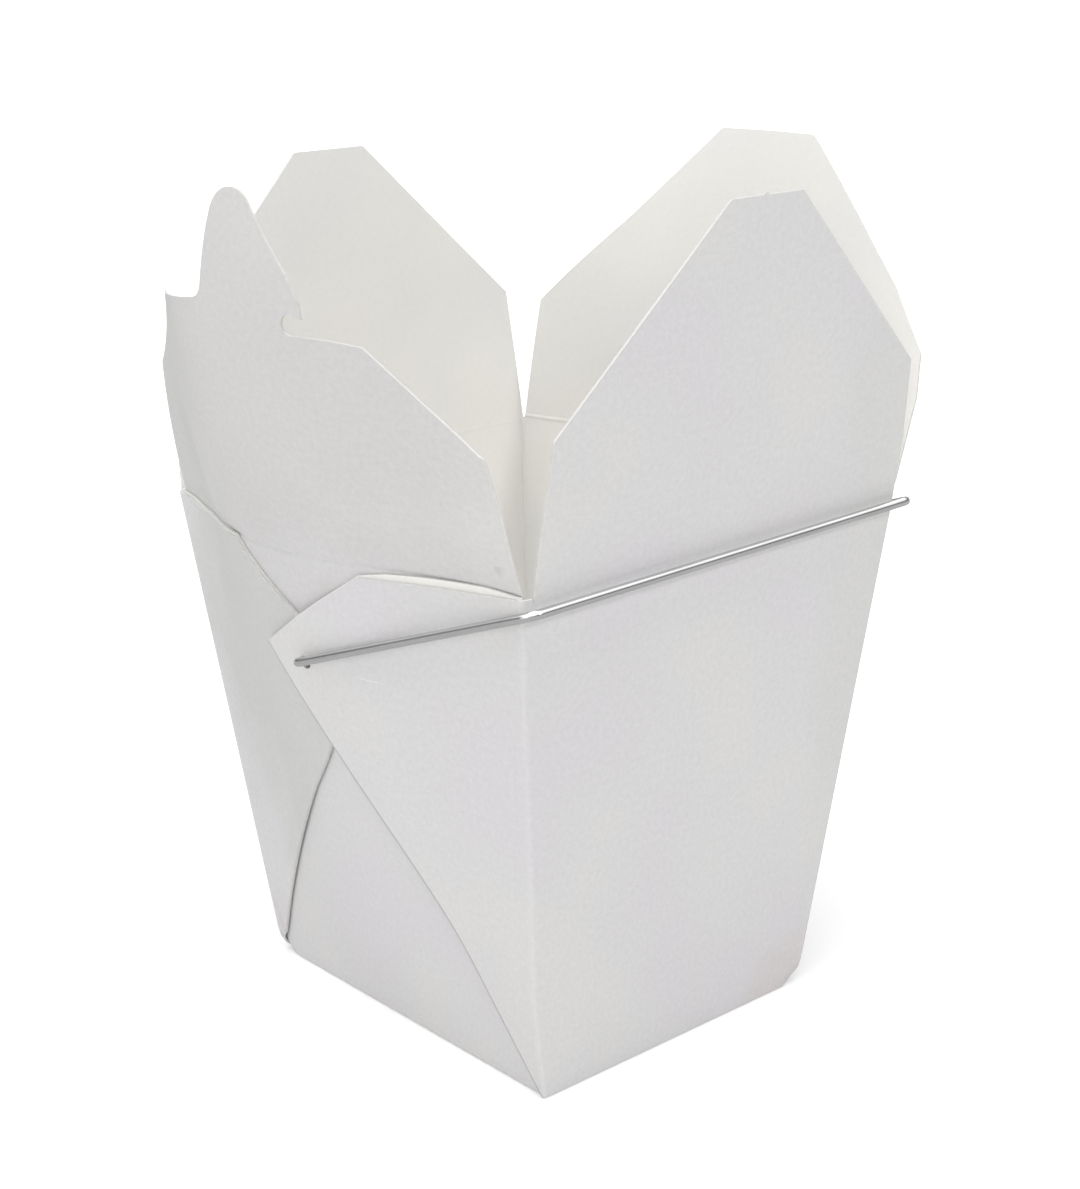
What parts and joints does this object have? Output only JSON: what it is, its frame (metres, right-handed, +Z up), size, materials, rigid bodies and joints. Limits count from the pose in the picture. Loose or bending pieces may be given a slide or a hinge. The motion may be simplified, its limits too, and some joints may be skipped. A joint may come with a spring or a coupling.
{
  "type": "takeaway food pail",
  "caption": "Open folded-board takeaway pail with tapered walls, crossed corner folds, four lid flaps on creases, a tongue and slit closure, and a wire bail.",
  "frame": {"origin": "centre of the base's underside", "axes": "+Z up, -Y towards the front wall that the bail rests against, -X towards the end wall whose flap carries the tongue"},
  "size_m": [0.1351, 0.124, 0.1674],
  "materials": {
    "board": "smooth coated white outside, cream inside",
    "wire": "drawn bright steel wire"
  },
  "bodies": {
    "carton": {"carton": "board"},
    "front_flap": {"front_flap": "board"},
    "back_flap": {"back_flap": "board"},
    "tongue_flap": {"tongue_flap": "board"},
    "slot_flap": {"slot_flap": "board"},
    "bail": {"bail": "wire"}
  },
  "joints": [
    {"name": "front_crease", "type": "hinge", "parent": "carton", "child": "front_flap", "pos_m": [0, -0.05352, 0.10095], "axis": [-1, 0, 0], "range_deg": [-55, 104]},
    {"name": "back_crease", "type": "hinge", "parent": "carton", "child": "back_flap", "pos_m": [0, 0.05352, 0.10095], "axis": [1, 0, 0], "range_deg": [-55, 98]},
    {"name": "tongue_crease", "type": "hinge", "parent": "carton", "child": "tongue_flap", "pos_m": [-0.04425, 0, 0.10235], "axis": [0, 1, 0], "range_deg": [0, 95]},
    {"name": "slot_crease", "type": "hinge", "parent": "carton", "child": "slot_flap", "pos_m": [0.04425, 0, 0.10235], "axis": [0, -1, 0], "range_deg": [0, 98]},
    {"name": "bail_swing", "type": "hinge", "parent": "carton", "child": "bail", "pos_m": [0, -0.002, 0.0813], "axis": [-1, 0, 0], "range_deg": [-52, 2]}
  ]
}
